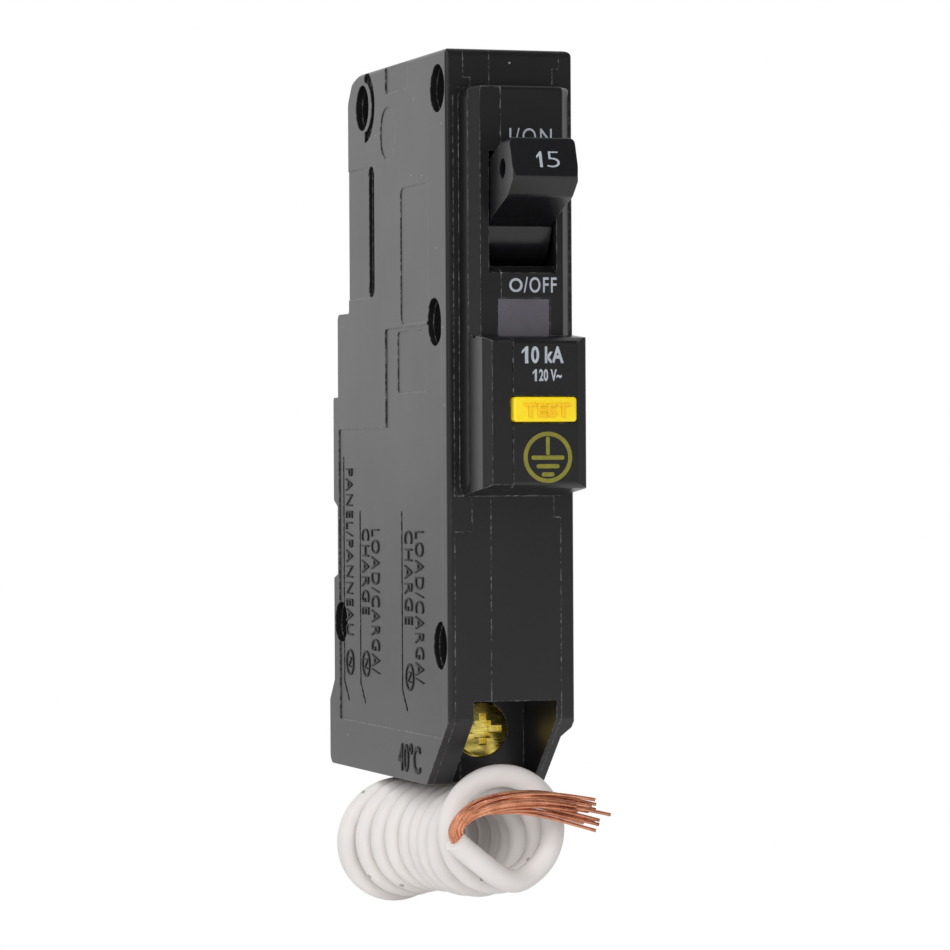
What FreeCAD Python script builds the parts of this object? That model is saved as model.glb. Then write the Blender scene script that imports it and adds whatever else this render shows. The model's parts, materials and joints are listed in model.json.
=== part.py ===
import FreeCAD, Part
import math
import os

# A single-pole plug-on breaker with ground-fault protection, in millimetres.
# Layout frame: X to the right, Y back from the case's front face, Z up from the case's bottom,
# X = 0 at mid width. Each sub-part is moved at the end, so that the origin is the middle of the
# flat face at the back that rests in the panel.

V = FreeCAD.Vector
X_AXIS = V(1, 0, 0)
Y_AXIS = V(0, 1, 0)
Z_AXIS = V(0, 0, 1)

# Case
HALF_WIDTH = 9.45
HEIGHT = 105.1
LEFT_SEAM = -8.45
MID_SEAM = -3.05
RIGHT_SEAM = 7.4
REST_Y = 59.2
REST_Z = 48.6
WALL = 1.6
FLOOR = 14.2
TEXT_RECESS = 0.18
PRINT_STEP = 0.12

# Escutcheon: a drafted plinth, the handle's boss and the button's taller boss
PLINTH_X = (-7.6, 8.35)
PLINTH_Z = (41.6, 99.6)
BOSS_LEFT = -7.2
UPPER_RIGHT = 7.85
LOWER_RIGHT = 8.15
RIGHT_BEVEL = 1.75
BOSS_TOP = 99.5
UPPER_Y = -5.2
LOWER_Y = -10.5
LOWER_Z = (42.4, 63.8)
OPENING_X = (-4.75, 5.2)
OPENING_Z = (73.1, 90.3)
WINDOW_X = (-3.5, 4.2)
WINDOW_Z = (64.1, 69.5)

# Handle
HANDLE_X = (-4.6, 5.0)
HANDLE_FRONT = -15.9
PIVOT = (3.4, 81.6)
DRUM_R = 7.5
TRUNNION_R = 1.5
LOCK_HOLE_R = 1.4
LOCK_HOLE = (-10.8, 87.4)

# Test button
BUTTON_X = (-3.3, 6.0)
BUTTON_Z = (52.0, 55.5)
BUTTON_PROUD = 1.0
BUTTON_TRAVEL = 1.2
BUTTON_BACK = -8.9
STEM = (1.3, 53.75)
STEM_R = 1.2

# Rivet pockets, as (Y, Z, radius)
RIVETS = [(42.4, 99.9, 3.45), (4.1, 99.7, 3.45), (6.2, 66.5, 3.45), (55.6, 22.0, 3.1), (4.1, 20.3, 3.45)]
RIVET_R = 1.5
POCKET_DEPTH = 4.4

# Terminals
CAVITY_X = (-5.7, 6.65)
CAVITY_TOP = 12.4
SCREW_HEAD_R = 3.85
SCREW_SHANK_R = 2.3
HEAD_THICK = 2.6
WIRE_GAP = 5.0
PLATE_THICK = 1.6
CLAMP_THICK = 1.5
HOT_PLATE_Y = 22.8
SCREW_Z = 7.6
NEUTRAL_AT = (43.0, 5.6)
NEUTRAL_TILT = 40.0

# Neutral wire
WIRE_R = 1.65
EXIT = (0.0, 51.0, 0.0)

# Running clearances
FIT = 0.06
GAP = 0.15


def box(x, y, z):
    """A block between the two limits of x, of y and of z."""
    return Part.makeBox(x[1] - x[0], y[1] - y[0], z[1] - z[0], V(x[0], y[0], z[0]))


def rod(r, a, b):
    """A round bar of radius r from point a to point b."""
    start = V(*a)
    line = V(*b) - start
    return Part.makeCylinder(r, line.Length, start, line)


def tube(outer, inner, a, b):
    return rod(outer, a, b).cut(rod(inner, a, b))


def rod_x(r, at, x):
    """A round bar along X through (Y, Z) = at."""
    return rod(r, (x[0], at[0], at[1]), (x[1], at[0], at[1]))


def corner_arc(before, point, after, radius):
    """The start, middle and end of the arc of that radius tangent to both runs at a corner."""
    back = (before - point).normalize()
    ahead = (after - point).normalize()
    half = back.getAngle(ahead) / 2
    reach = radius / math.tan(half)
    middle = (back + ahead).normalize()
    top = point + middle * (radius / math.sin(half) - radius)
    return point + back * reach, top, point + ahead * reach


def outline(points, radii=None):
    """A closed flat wire through the points, with corners rounded to the radii given by index."""
    radii = radii or {}
    n = len(points)
    edges = []
    ends = []
    for i, point in enumerate(points):
        if radii.get(i, 0) > 0:
            start, top, end = corner_arc(points[i - 1], point, points[(i + 1) % n], radii[i])
            edges.append(Part.Arc(start, top, end).toShape())
            ends.append((start, end))
        else:
            ends.append((point, point))
    for i in range(n):
        start = ends[i][1]
        end = ends[(i + 1) % n][0]
        if (end - start).Length > 1e-6:
            edges.append(Part.LineSegment(start, end).toShape())
    return Part.Wire(Part.__sortEdges__(edges))


def prism_x(points, x, radii=None):
    """A (Y, Z) outline carried along X."""
    wire = outline([V(x[0], y, z) for y, z in points], radii)
    return Part.Face(wire).extrude(V(x[1] - x[0], 0, 0))


def prism_y(points, y, radii=None):
    """An (X, Z) outline carried along Y."""
    wire = outline([V(px, y[0], pz) for px, pz in points], radii)
    return Part.Face(wire).extrude(V(0, y[1] - y[0], 0))


def prism_z(points, z, radii=None):
    """An (X, Y) outline carried along Z."""
    wire = outline([V(px, py, z[0]) for px, py in points], radii)
    return Part.Face(wire).extrude(V(0, 0, z[1] - z[0]))


def rectangle(a, b):
    return [(a[0], b[0]), (a[1], b[0]), (a[1], b[1]), (a[0], b[1])]


def all_corners(radius, count=4):
    return {i: radius for i in range(count)}


def link(a, b, half_width, x):
    """A flat bar with round ends between two (Y, Z) points."""
    line = V(0, b[0] - a[0], b[1] - a[1])
    side = X_AXIS.cross(line).normalize() * half_width
    corners = [V(x[0], *a) + side, V(x[0], *b) + side, V(x[0], *b) - side, V(x[0], *a) - side]
    bar = Part.Face(outline(corners)).extrude(V(x[1] - x[0], 0, 0))
    return bar.fuse([rod_x(half_width, a, x), rod_x(half_width, b, x)]).removeSplitter()


def round_edges(shape, radius, chosen):
    """Rounds the edges that the test chooses. The test reads an edge's box."""
    edges = [e for e in shape.Edges if chosen(e.BoundBox)]
    return shape.makeFillet(radius, edges)


def route_wire(points, name=None):
    """Straight runs joined by tangent arcs, each as large as 0.45 of its shorter run allows."""
    points = [V(*p) for p in points]
    edges = []
    radii = []
    at = points[0]
    for before, point, after in zip(points, points[1:], points[2:]):
        turn = (point - before).getAngle(after - point)
        shorter = min((point - before).Length, (after - point).Length)
        radii.append(0.45 * shorter / math.tan(turn / 2))
        start, top, end = corner_arc(before, point, after, radii[-1])
        edges.append(Part.LineSegment(at, start).toShape())
        edges.append(Part.Arc(start, top, end).toShape())
        at = end
    edges.append(Part.LineSegment(at, points[-1]).toShape())
    wire = Part.Wire(edges)
    if name:
        print(name, "radii", [round(r, 1) for r in radii], "length", round(wire.Length, 1))
    return wire


def route_tube(points, radius, name=None):
    """A round tube along a route. Prints how its volume compares with section times length."""
    wire = route_wire(points, name)
    first = V(*points[0])
    ring = Part.Wire(Part.makeCircle(radius, first, V(*points[1]) - first))
    solid = wire.makePipeShell([ring], True, True)
    if name:
        print(name, "volume ratio", round(solid.Volume / (math.pi * radius**2 * wire.Length), 3))
    return solid


def wound_sleeve(outer, inner, start, end, wire_d):
    """A close-wound spring as a sleeve whose outside has one round ridge for each turn."""
    start = V(*start)
    line = V(*end) - start
    turns = max(2, round(line.Length / wire_d))
    pitch = line.Length / turns
    core = outer - pitch / 2
    points = [V(inner, 0, 0), V(core, 0, 0)]
    edges = [Part.LineSegment(*points).toShape()]
    for i in range(turns):
        low = V(core, 0, i * pitch)
        crest = V(outer, 0, (i + 0.5) * pitch)
        high = V(core, 0, (i + 1) * pitch)
        edges.append(Part.Arc(low, crest, high).toShape())
    top = V(inner, 0, line.Length)
    edges.append(Part.LineSegment(V(core, 0, line.Length), top).toShape())
    edges.append(Part.LineSegment(top, points[0]).toShape())
    sleeve = Part.Face(Part.Wire(edges)).revolve(V(0, 0, 0), Z_AXIS, 360)
    sleeve.Placement = FreeCAD.Placement(start, FreeCAD.Rotation(Z_AXIS, line))
    return sleeve


def write(node, *shapes):
    """Moves a sub-part into the frame whose origin is the rest face's middle, and saves it."""
    shape = shapes[0] if len(shapes) == 1 else Part.makeCompound(list(shapes))
    if shape.ShapeType == "Compound" and len(shape.Solids) == 1:
        shape = shape.Solids[0]
    shape = shape.copy()
    shape.translate(V(0, -REST_Y, -REST_Z))
    if not shape.isValid():
        print("not valid:", node)
    shape.exportStep("parts/" + node + ".step")


# ---------------------------------------------------------------- case

PROFILE = [
    (0, 9.8), (0, HEIGHT), (43.5, HEIGHT), (48.0, HEIGHT - 1.2), (50.2, HEIGHT - 4.0),
    (50.2, 69.2), (56.6, 69.2), (56.6, 56.5), (59.2, 56.5), (59.2, 40.7), (57.1, 39.7),
    (57.1, 29.3), (59.2, 28.7), (59.2, 13.0), (61.9, 9.8), (61.9, 0), (11.0, 0),
]
PROFILE_RADII = {1: 1.0, 2: 4.0, 3: 2.0, 4: 1.5, 5: 0.5, 6: 1.0, 8: 0.6, 15: 1.6, 0: 0.5, 16: 0.5}
INSIDE = [
    (WALL, FLOOR), (WALL, 103.0), (43.6, 103.0), (47.7, 97.2), (47.7, 67.6), (54.9, 67.6), (54.9, 54.9),
    (57.5, 54.9), (57.5, 41.6), (55.4, 40.6), (55.4, 28.2), (57.5, 27.6), (57.5, FLOOR),
]


def case_slab(x):
    return prism_x(PROFILE, x, PROFILE_RADII)


def front_lugs(side):
    """The blocks by which a cover's front edge steps in over the housing, and their notches."""
    if side == "left":
        spans = [(-5.85, 36.5, 41.6), (-5.85, 99.6, 101.0), (-6.93, 101.0, HEIGHT)]
        lugs = [box((LEFT_SEAM - 0.5, x), (0, WALL), (low, high)) for x, low, high in spans]
    else:
        spans = [(6.4, 38.5, 41.6), (6.4, 99.6, 102.4)]
        lugs = [box((x, RIGHT_SEAM + 0.5), (0, WALL), (low, high)) for x, low, high in spans]
    return [lug.common(case_slab((-HALF_WIDTH, HALF_WIDTH))) for lug in lugs]


def pockets(x):
    return [rod_x(r, (y, z), x) for y, z, r in RIVETS]


def groove(points, radii, x_face, depth, inward):
    """A shallow recess in a side face, from its (Y, Z) outline."""
    span = sorted((x_face - inward * 1.0, x_face + inward * depth))
    return prism_x(points, span, radii)


def slot_line(a, b, x_face, depth, half_width=0.32):
    return link(a, b, half_width, (x_face - 1.0, x_face + depth))


def left_reliefs():
    """Everything sunk into the left face: label panels, step lines and flow arrows."""
    face = -HALF_WIDTH
    cuts = [
        groove(rectangle((18.7, 30.3), (101.0, HEIGHT + 2)), {0: 0.8, 1: 0.8}, face, 0.18, 1),
        groove(rectangle((25.4, 32.9), (91.3, 99.0)), all_corners(3.4), face, 0.12, 1),
        groove(rectangle((9.0, 22.7), (66.6, 86.6)), all_corners(1.2), face, 0.12, 1),
        groove(rectangle((11.0, 25.0), (56.6, 65.6)), all_corners(0.8), face, 0.3, 1),
        groove(rectangle((36.2, 39.4), (71.2, 90.8)), all_corners(1.5), face, 0.7, 1),
        groove(rectangle((39.4, 52.0), (71.2, 90.8)), {0: 0.3, 3: 0.3}, face, 0.12, 1),
    ]
    text_field = [(2.8, 7.1), (56.4, 7.1), (56.4, 51.6), (30.9, 51.6), (30.9, 66.2), (2.8, 66.2)]
    cuts.append(groove(text_field, {0: 0.6, 1: 0.6, 2: 0.6, 4: 0.6}, face, TEXT_RECESS, 1))
    at = (RIVETS[0][0] - 1.2, RIVETS[0][1])
    ring = rod_x(5.4, at, (face - 1, face + 0.6)).cut(rod_x(3.7, at, (face - 1, face + 1)))
    cuts.append(ring.common(box((face - 1, face + 1), (35.0, at[0]), (93.0, HEIGHT))))
    for y, top in ((54.2, 47.2), (45.3, 38.9), (23.3, 39.0)):
        cuts.append(slot_line((y, top), (y, 13.0), face, 0.55))
        cuts.append(slot_line((y, 13.0), (y - 2.4, 10.3), face, 0.55))
    return cuts


def right_reliefs():
    """The right face carries one rating panel and a finger recess at the top."""
    face = HALF_WIDTH
    thin_foot = [(8.35, -1.0), (12.0, -1.0), (12.0, 8.6), (9.6, 8.6), (8.35, 7.0)]
    return [
        prism_y(thin_foot, (-1, 16)),
        groove(rectangle((9.0, 34.0), (26.0, 60.0)), all_corners(1.2), face, 0.3, -1),
        groove(rectangle((18.7, 30.3), (101.0, HEIGHT + 2)), {0: 0.8, 1: 0.8}, face, 0.35, -1),
        groove(rectangle((14.0, 34.0), (74.0, 92.0)), all_corners(1.2), face, 0.3, -1),
    ]


def bearing(x, bore_x):
    """A boss on a cover's inner face, flat at the front, with a blind bore for a trunnion."""
    block = rod_x(3.0, PIVOT, x).common(box((-10, 10), (WALL + 0.05, 10), (70, 90)))
    return block.cut(rod_x(TRUNNION_R + FIT, PIVOT, bore_x))


def soft_envelope():
    """The case's box with its long front edges and its top edges rounded."""
    wide = (-HALF_WIDTH, HALF_WIDTH)
    front = prism_z(rectangle(wide, (0, 80)), (-1, HEIGHT + 1), {0: 0.6, 1: 0.6})
    top = prism_y(rectangle(wide, (-1, HEIGHT)), (-1, 80), {2: 1.2, 3: 0.6})
    return front.common(top)


def make_covers():
    envelope = soft_envelope()
    left = case_slab((-HALF_WIDTH, LEFT_SEAM)).common(envelope)
    left = left.fuse(front_lugs("left") + [bearing((LEFT_SEAM, -4.8), (-6.2, -4.8))])
    left = left.cut(pockets((-HALF_WIDTH - 1, POCKET_DEPTH - HALF_WIDTH)) + left_reliefs()).removeSplitter()
    write("left_cover", left)
    right = case_slab((RIGHT_SEAM, HALF_WIDTH)).common(envelope)
    right = right.fuse(front_lugs("right") + [bearing((5.2, RIGHT_SEAM), (5.2, 6.6))])
    right = right.cut(pockets((RIGHT_SEAM - 1, HALF_WIDTH + 1)) + right_reliefs()).removeSplitter()
    write("right_cover", right)


def boss_section(front, right, left_bevel, deep):
    """The (X, Y) section of a boss whose front edges are bevelled."""
    return [
        (BOSS_LEFT, 1.0), (BOSS_LEFT, front + deep), (BOSS_LEFT + left_bevel, front),
        (right - RIGHT_BEVEL, front), (right, front + deep), (right, 1.0),
    ]


def escutcheon():
    """The plinth and the two bosses that stand out of the front face."""
    low = outline([V(x, 0, z) for x, z in rectangle(PLINTH_X, PLINTH_Z)], all_corners(1.6))
    inner = rectangle((BOSS_LEFT - 0.02, LOWER_RIGHT + 0.02), (PLINTH_Z[0] + 0.5, PLINTH_Z[1] - 0.4))
    high = outline([V(x, -3.0, z) for x, z in inner], all_corners(1.4))
    plinth = Part.makeLoft([low, high], True, True)
    root = prism_y(rectangle((-5.9, 6.4), PLINTH_Z), (-0.5, WALL))
    upper = prism_z(boss_section(UPPER_Y, UPPER_RIGHT, 1.2, 2.2), (LOWER_Z[1] - 1.0, BOSS_TOP),
                    {1: 0.6, 2: 0.5, 3: 0.5, 4: 0.6})
    upper = round_edges(upper, 0.6, lambda b: b.ZMin > BOSS_TOP - 0.01 and b.YMax < UPPER_Y + 3)
    lower = prism_z(boss_section(LOWER_Y, LOWER_RIGHT, 1.25, 1.2), (LOWER_Z[0] - 2, LOWER_Z[1] + 2),
                    {1: 0.5, 2: 0.4, 3: 0.4, 4: 0.5})
    side = [
        (2.0, LOWER_Z[0] - 0.9), (LOWER_Y + 1.1, LOWER_Z[0] + 0.3), (LOWER_Y, LOWER_Z[0] + 0.9),
        (LOWER_Y, LOWER_Z[1] - 0.5), (LOWER_Y + 1.1, LOWER_Z[1] + 0.1), (2.0, LOWER_Z[1] + 1.0),
    ]
    lower = lower.common(prism_x(side, (-12, 12), {1: 0.8, 2: 0.5, 3: 0.5, 4: 0.8}))
    outside = box((-20, 20), (-20, 0), (0, 200))
    return plinth.fuse([root, upper.common(outside), lower.common(outside)])


def handle_opening():
    """The handle's window in the boss, whose lower lip slopes inwards."""
    low, high = OPENING_Z
    lip = [(-7, low), (UPPER_Y, low), (-3.7, low + 1.0), (WALL + 1, low + 1.0), (WALL + 1, high), (-7, high)]
    return prism_x(lip, OPENING_X)


def tilted(shape, at, degrees):
    """A shape drawn about (Y, Z) = (0, 0), turned about X and put at the (Y, Z) point."""
    turned = shape.copy()
    turned.rotate(V(0, 0, 0), X_AXIS, degrees)
    turned.translate(V(0, *at))
    return turned


def terminal_pockets():
    """The hot terminal's cavity, open at the front and below, and the tilted neutral one."""
    hot = box(CAVITY_X, (-1, HOT_PLATE_Y), (-1, CAVITY_TOP))
    strap = box((-4.9, 5.5), (HOT_PLATE_Y - 1, 25.8), (0.4, FLOOR + 1))
    shank = rod(SCREW_SHANK_R + 0.3, (0, 20, SCREW_Z), (0, 27.7, SCREW_Z))
    mouth = tilted(box(CAVITY_X, (-12.5, PLATE_THICK + 0.1), (-9.5, 8.7)), NEUTRAL_AT, NEUTRAL_TILT)
    hole = tilted(rod(SCREW_SHANK_R + 0.3, (0, 0, 4.6), (0, 4.9, 4.6)), NEUTRAL_AT, NEUTRAL_TILT)
    tail = rod(1.4, (-3.6, 39.8, 8), (-3.6, 39.8, FLOOR + 1))
    lead = rod(WIRE_R + 0.15, (EXIT[0], EXIT[1], -1), (EXIT[0], EXIT[1], FLOOR + 1))
    return [hot, strap, shank, mouth, hole, tail, lead]


def make_housing():
    body = case_slab((LEFT_SEAM, RIGHT_SEAM))
    inner = prism_x(INSIDE, (LEFT_SEAM - 1, RIGHT_SEAM + 1))
    body = body.cut(inner).fuse(escutcheon())
    columns = [rod_x(r + 1.1, (y, z), (LEFT_SEAM, RIGHT_SEAM)) for y, z, r in RIVETS]
    columns = [c.common(case_slab((LEFT_SEAM, RIGHT_SEAM))) for c in columns]
    rails = [box(x, (29.6, 48.0), (85.0, STRAP_Z[0])) for x in ((LEFT_SEAM, MID_SEAM), (3.1, RIGHT_SEAM))]
    solenoid_rail = box((3.2, RIGHT_SEAM), (1.0, 26.4), (30.9, 32.35))
    struts = [box(x, (1.0, 3.0), (65.0, 68.0)) for x in ((LEFT_SEAM, -5.3), (5.9, RIGHT_SEAM))]
    body = body.fuse(columns + rails + struts + [solenoid_rail])
    depth = POCKET_DEPTH - (HALF_WIDTH + LEFT_SEAM)
    cuts = [
        box((-5.2, 5.8), (-3.7, WALL + 0.1), (43.6, 97.0)),
        box((-5.4, 5.9), (-9.0, -3.6), (44.2, 62.4)),
        handle_opening(),
        prism_y(rectangle(WINDOW_X, WINDOW_Z), (-7, -3), all_corners(0.3)),
        prism_y(rectangle((BUTTON_X[0] - GAP, BUTTON_X[1] + GAP), (BUTTON_Z[0] - GAP, BUTTON_Z[1] + GAP)),
                (LOWER_Y - 1, BUTTON_BACK + BUTTON_TRAVEL + GAP), all_corners(0.4)),
        prism_x(rectangle((46.0, 51.0), (73.4, 88.6)), (-2.0, 2.0)),
    ]
    for y, z, r in RIVETS:
        cuts.append(rod_x(r, (y, z), (LEFT_SEAM - 1, LEFT_SEAM + depth)))
        cuts.append(rod_x(r, (y, z), (RIGHT_SEAM - 1.5, RIGHT_SEAM + 1)))
        cuts.append(rod_x(RIVET_R + 0.05, (y, z), (LEFT_SEAM - 1, RIGHT_SEAM + 1)))
    body = body.cut(cuts + terminal_pockets() + front_lugs("left") + front_lugs("right"))
    seat = box((-5.4, 5.9), (-2.7, -2.0), (50.0, 56.6)).cut(
        rod(STEM_R + 0.3, (STEM[0], -4, STEM[1]), (STEM[0], 0, STEM[1])))
    screw_hole = rod(SCREW_HEAD_R + 0.3, (0, 10, SCREW_Z), (0, 20, SCREW_Z))
    shield = box(CAVITY_X, (15.0, 16.1), (0, CAVITY_TOP)).cut(screw_hole)
    body = body.fuse([seat, shield])
    step = box((LEFT_SEAM - 1, MID_SEAM), (LOWER_Y - 1, LOWER_Y + PRINT_STEP), (0, HEIGHT))
    step = step.fuse(box((LEFT_SEAM - 1, MID_SEAM), (UPPER_Y - 1, UPPER_Y + PRINT_STEP),
                         (LOWER_Z[1], HEIGHT)))
    body = body.cut(step)
    big = 40
    left = body.common(box((-big, MID_SEAM), (-big, 2 * big), (-1, HEIGHT + 1)))
    right = body.common(box((MID_SEAM, big), (-big, 2 * big), (-1, HEIGHT + 1)))
    write("left_housing", *left.Solids)
    write("right_housing", *right.Solids)


def make_rivets():
    """A hollow-ended rivet in each pocket, its head at the bottom of the left pocket."""
    seat_left = -HALF_WIDTH + POCKET_DEPTH
    seat_right = RIGHT_SEAM - 1.5
    rivets = []
    for y, z, r in RIVETS:
        shank = rod_x(RIVET_R, (y, z), (seat_left, seat_right))
        head = rod_x(r - 0.75, (y, z), (seat_left - 0.9, seat_left))
        roll = rod_x(r - 0.9, (y, z), (seat_right, seat_right + 0.9))
        dimple = rod_x(1.0, (y, z), (seat_left - 1, seat_left - 0.4))
        rivets.append(shank.fuse([head, roll]).cut(dimple).removeSplitter())
    write("case_rivets", *rivets)


def make_window_and_flag():
    play = 0.05
    pane = rectangle((WINDOW_X[0] + play, WINDOW_X[1] - play), (WINDOW_Z[0] + play, WINDOW_Z[1] - play))
    lens = prism_y(pane, (UPPER_Y + 0.15, -3.7), all_corners(0.3))
    flange = box((WINDOW_X[0] - 0.7, WINDOW_X[1] + 0.7), (-3.7, -3.1), (WINDOW_Z[0] - 0.6, WINDOW_Z[1] + 0.6))
    write("indicator_lens", lens.fuse(flange).removeSplitter())
    write("trip_flag", box((-3.2, 4.0), (-2.9, -2.2), (57.1, 63.1)))


# ---------------------------------------------------------------- switch

ARM_PIN = (10.5, 80.5)
ARM_TIP = (30.0, 92.5)
ARM_X = (-1.2, 1.6)
CRADLE_PIN = (15.5, 74.0)
CRADLE_LATCH = (34.8, 59.4)
CRADLE_X = (5.4, 6.6)
SPRING_X = 3.45
SPRING_Y = 24.5
ARMATURE_PIN = (37.5, 65.2)
STRAP_Z = (88.0, 89.4)


def make_handle():
    paddle = [
        (-1.0, 88.4), (-5.6, 89.3), (-10.0, 91.2), (-13.8, 91.6), (HANDLE_FRONT, 85.9), (-13.0, 83.4),
        (-9.0, 82.0), (-5.9, 80.8), (3.0, 76.0), (4.0, 86.0),
    ]
    body = rod_x(DRUM_R, PIVOT, HANDLE_X)
    body = body.fuse(prism_x(paddle, HANDLE_X, {2: 2.5, 3: 0.6, 4: 0.6, 5: 2.0, 6: 4.0}))
    body = body.fuse(link(PIVOT, ARM_PIN, 2.3, (-3.6, 4.0)))
    body = body.cut(box((ARM_X[0] - 0.3, ARM_X[1] + 0.3), (4.0, 16.0), (70, 92)))
    body = body.cut([rod_x(LOCK_HOLE_R, LOCK_HOLE, (-6, 6)), rod_x(0.9, ARM_PIN, (-5, 6))])
    body = body.fuse([rod_x(TRUNNION_R, PIVOT, (-6.0, 3.0)), rod_x(TRUNNION_R, PIVOT, (-2.5, 6.4))])
    front = prism_z(rectangle(HANDLE_X, (HANDLE_FRONT, 20)), (60, 100), {0: 0.7, 1: 0.7})
    top = prism_y(rectangle(HANDLE_X, (60, 91.6)), (-20, 20), {2: 0.9, 3: 0.9})
    soft = front.common(top).fuse(box((-8, 8), (-3.0, 8.0), (70, 92)))
    body = body.common(soft).removeSplitter()
    write("handle", body)
    write("contact_arm_pin", rod_x(0.9, ARM_PIN, (-3.4, 3.8)))


def make_contact_arm():
    arm = link(ARM_PIN, ARM_TIP, 1.5, ARM_X)
    post = rod_x(0.7, (SPRING_Y, 89.1), (ARM_X[1] - 0.5, 5.0))
    arm = arm.fuse(post).cut(rod_x(0.9 + FIT, ARM_PIN, (-3, 3))).removeSplitter()
    arm = arm.cut(box((-3, 3), (ARM_TIP[0] - 2.6, ARM_TIP[0] + 3), (88, 91.9)))
    write("contact_arm", arm)
    write("moving_contact", rod(1.3, (0.2, ARM_TIP[0] - 0.6, 90.75), (0.2, ARM_TIP[0] - 0.6, 91.9)))
    write("stationary_contact", rod(1.6, (0.2, ARM_TIP[0] - 0.6, STRAP_Z[1]), (0.2, ARM_TIP[0] - 0.6, 90.65)))
    spring = wound_sleeve(1.65, 0.9, (SPRING_X, SPRING_Y, 70.5), (SPRING_X, SPRING_Y, 88.1), 0.8)
    write("toggle_spring", spring)


def make_cradle():
    hook = (SPRING_Y, 69.5)
    arms = link(CRADLE_PIN, hook, 1.7, CRADLE_X).fuse(link(hook, CRADLE_LATCH, 1.5, CRADLE_X))
    arms = arms.fuse(rod_x(2.6, CRADLE_PIN, CRADLE_X)).fuse(rod_x(0.7, hook, (SPRING_X, CRADLE_X[1])))
    write("cradle", arms.cut(rod_x(1.2 + FIT, CRADLE_PIN, (4, 8))).removeSplitter())
    pin = rod_x(1.2, CRADLE_PIN, (4.4, RIGHT_SEAM)).fuse(rod_x(2.0, CRADLE_PIN, (4.4, 5.2)))
    write("cradle_pin", pin.removeSplitter())


def make_line_side():
    strap = box((-4.0, 4.4), (27.6, 47.0), STRAP_Z)
    write("line_strap", strap)
    leaf = [(37.4, 74.0), (46.6, 74.0), (47.5, 75.0), (47.5, 87.0), (46.6, 88.0), (37.4, 88.0)]
    jaw = prism_x(leaf, (-2.1, 2.1)).cut(box((-1.2, 1.2), (38.4, 50), (73, 89)))
    write("line_jaw", jaw)
    clip = box((-2.8, 2.8), (36.6, 46.0), (77.0, 85.0)).cut(box((-2.15, 2.15), (37.35, 50), (76, 86)))
    write("jaw_spring_clip", clip)
    plates = [box((-5.9, 5.9), (33.0, 37.2), (z, z + 0.8)) for z in (91.4, 93.2, 95.0, 96.8, 98.6)]
    write("arc_plates", *plates)
    write("arc_chute_sides", *[box(x, (32.6, 37.6), (90.4, 100.6)) for x in ((-7.0, -5.95), (5.95, 7.0))])


def make_trip_unit():
    write("bimetal", box((-1.4, 2.6), (41.4, 42.3), (46.0, 70.0)))
    yoke = box((-2.9, 4.1), (38.8, 43.2), (50.0, 60.0)).cut(box((-2.1, 3.3), (38, 42.45), (49, 61)))
    write("magnet_yoke", yoke)
    plate = box((-2.9, 4.1), (37.0, 38.0), (47.0, 65.2))
    tab = box((4.0, 6.6), (36.5, 38.0), (56.6, 57.6))
    armature = plate.fuse([tab, rod_x(1.6, ARMATURE_PIN, (-2.9, 4.1))])
    write("armature", armature.cut(rod_x(0.8 + FIT, ARMATURE_PIN, (-5, 7))).removeSplitter())
    write("armature_pin", rod_x(0.8, ARMATURE_PIN, (LEFT_SEAM, RIGHT_SEAM)))
    vertical = box((-1.4, 2.6), (43.4, 44.4), (27.0, 70.0))
    head = box((-1.4, 2.6), (42.3, 43.5), (66.0, 70.0))
    across = box((-1.4, 2.6), (24.4, 44.4), (27.0, 28.0))
    down = box((-1.4, 2.6), (24.4, 25.4), (11.0, 28.0))
    write("load_strap", vertical.fuse([head, across, down]).removeSplitter())
    screw = rod(1.2, (0.6, 44.4, 63.0), (0.6, 49.0, 63.0))
    screw = screw.fuse(rod(2.2, (0.6, 49.0, 63.0), (0.6, 50.4, 63.0)))
    screw = screw.cut(box((-3, 4), (49.8, 52), (62.7, 63.3)))
    write("calibration_screw", screw.removeSplitter())
    braid = [(0.2, 21.6, 84.0), (0.2, 23.6, 75.0), (0.2, 30.0, 66.0), (0.2, 31.6, 52.0), (0.2, 35.6, 44.3),
             (0.2, 41.2, 43.4), (0.2, 41.9, 45.7)]
    write("flexible_braid", route_tube(braid, 0.9))


# ---------------------------------------------------------------- terminals

def terminal_set():
    """Plate, clamp and screw about the (Y, Z) point where the plate's front face meets its foot.

    The screw's axis is Y, its head faces the front, and the wire slides in from below.
    """
    axis_z = 4.6
    clamp_y = -WIRE_GAP - CLAMP_THICK
    head_y = clamp_y - HEAD_THICK
    plate = box((-4.6, 5.2), (0, PLATE_THICK), (-2.4, 8.4))
    plate = plate.cut(rod(SCREW_SHANK_R + FIT, (0, -1, axis_z), (0, 3, axis_z)))
    bent = [(clamp_y, -1.6), (clamp_y + CLAMP_THICK, -0.8), (clamp_y + CLAMP_THICK, 7.9), (clamp_y, 7.9)]
    clamp = prism_x(bent, (-4.4, 5.2))
    clamp = clamp.cut(rod(SCREW_SHANK_R + FIT, (0, -20, axis_z), (0, 3, axis_z)))
    head = rod(SCREW_HEAD_R, (0, head_y, axis_z), (0, clamp_y - 0.02, axis_z))
    head = head.common(Part.makeSphere(11.0, V(0, head_y + 11.0, axis_z)))
    shank = rod(SCREW_SHANK_R, (0, clamp_y - 0.5, axis_z), (0, 1.6, axis_z))
    slot = box((-2.9, 2.9), (head_y - 1, head_y + 1.3), (axis_z - 0.55, axis_z + 0.55))
    cross = box((-0.55, 0.55), (head_y - 1, head_y + 1.6), (axis_z - 2.3, axis_z + 2.3))
    square = box((-1.25, 1.25), (head_y - 1, head_y + 1.7), (axis_z - 1.25, axis_z + 1.25))
    screw = head.fuse(shank).cut([slot, cross, square]).removeSplitter()
    return {"terminal_plate": plate, "pressure_plate": clamp, "terminal_screw": screw}


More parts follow.
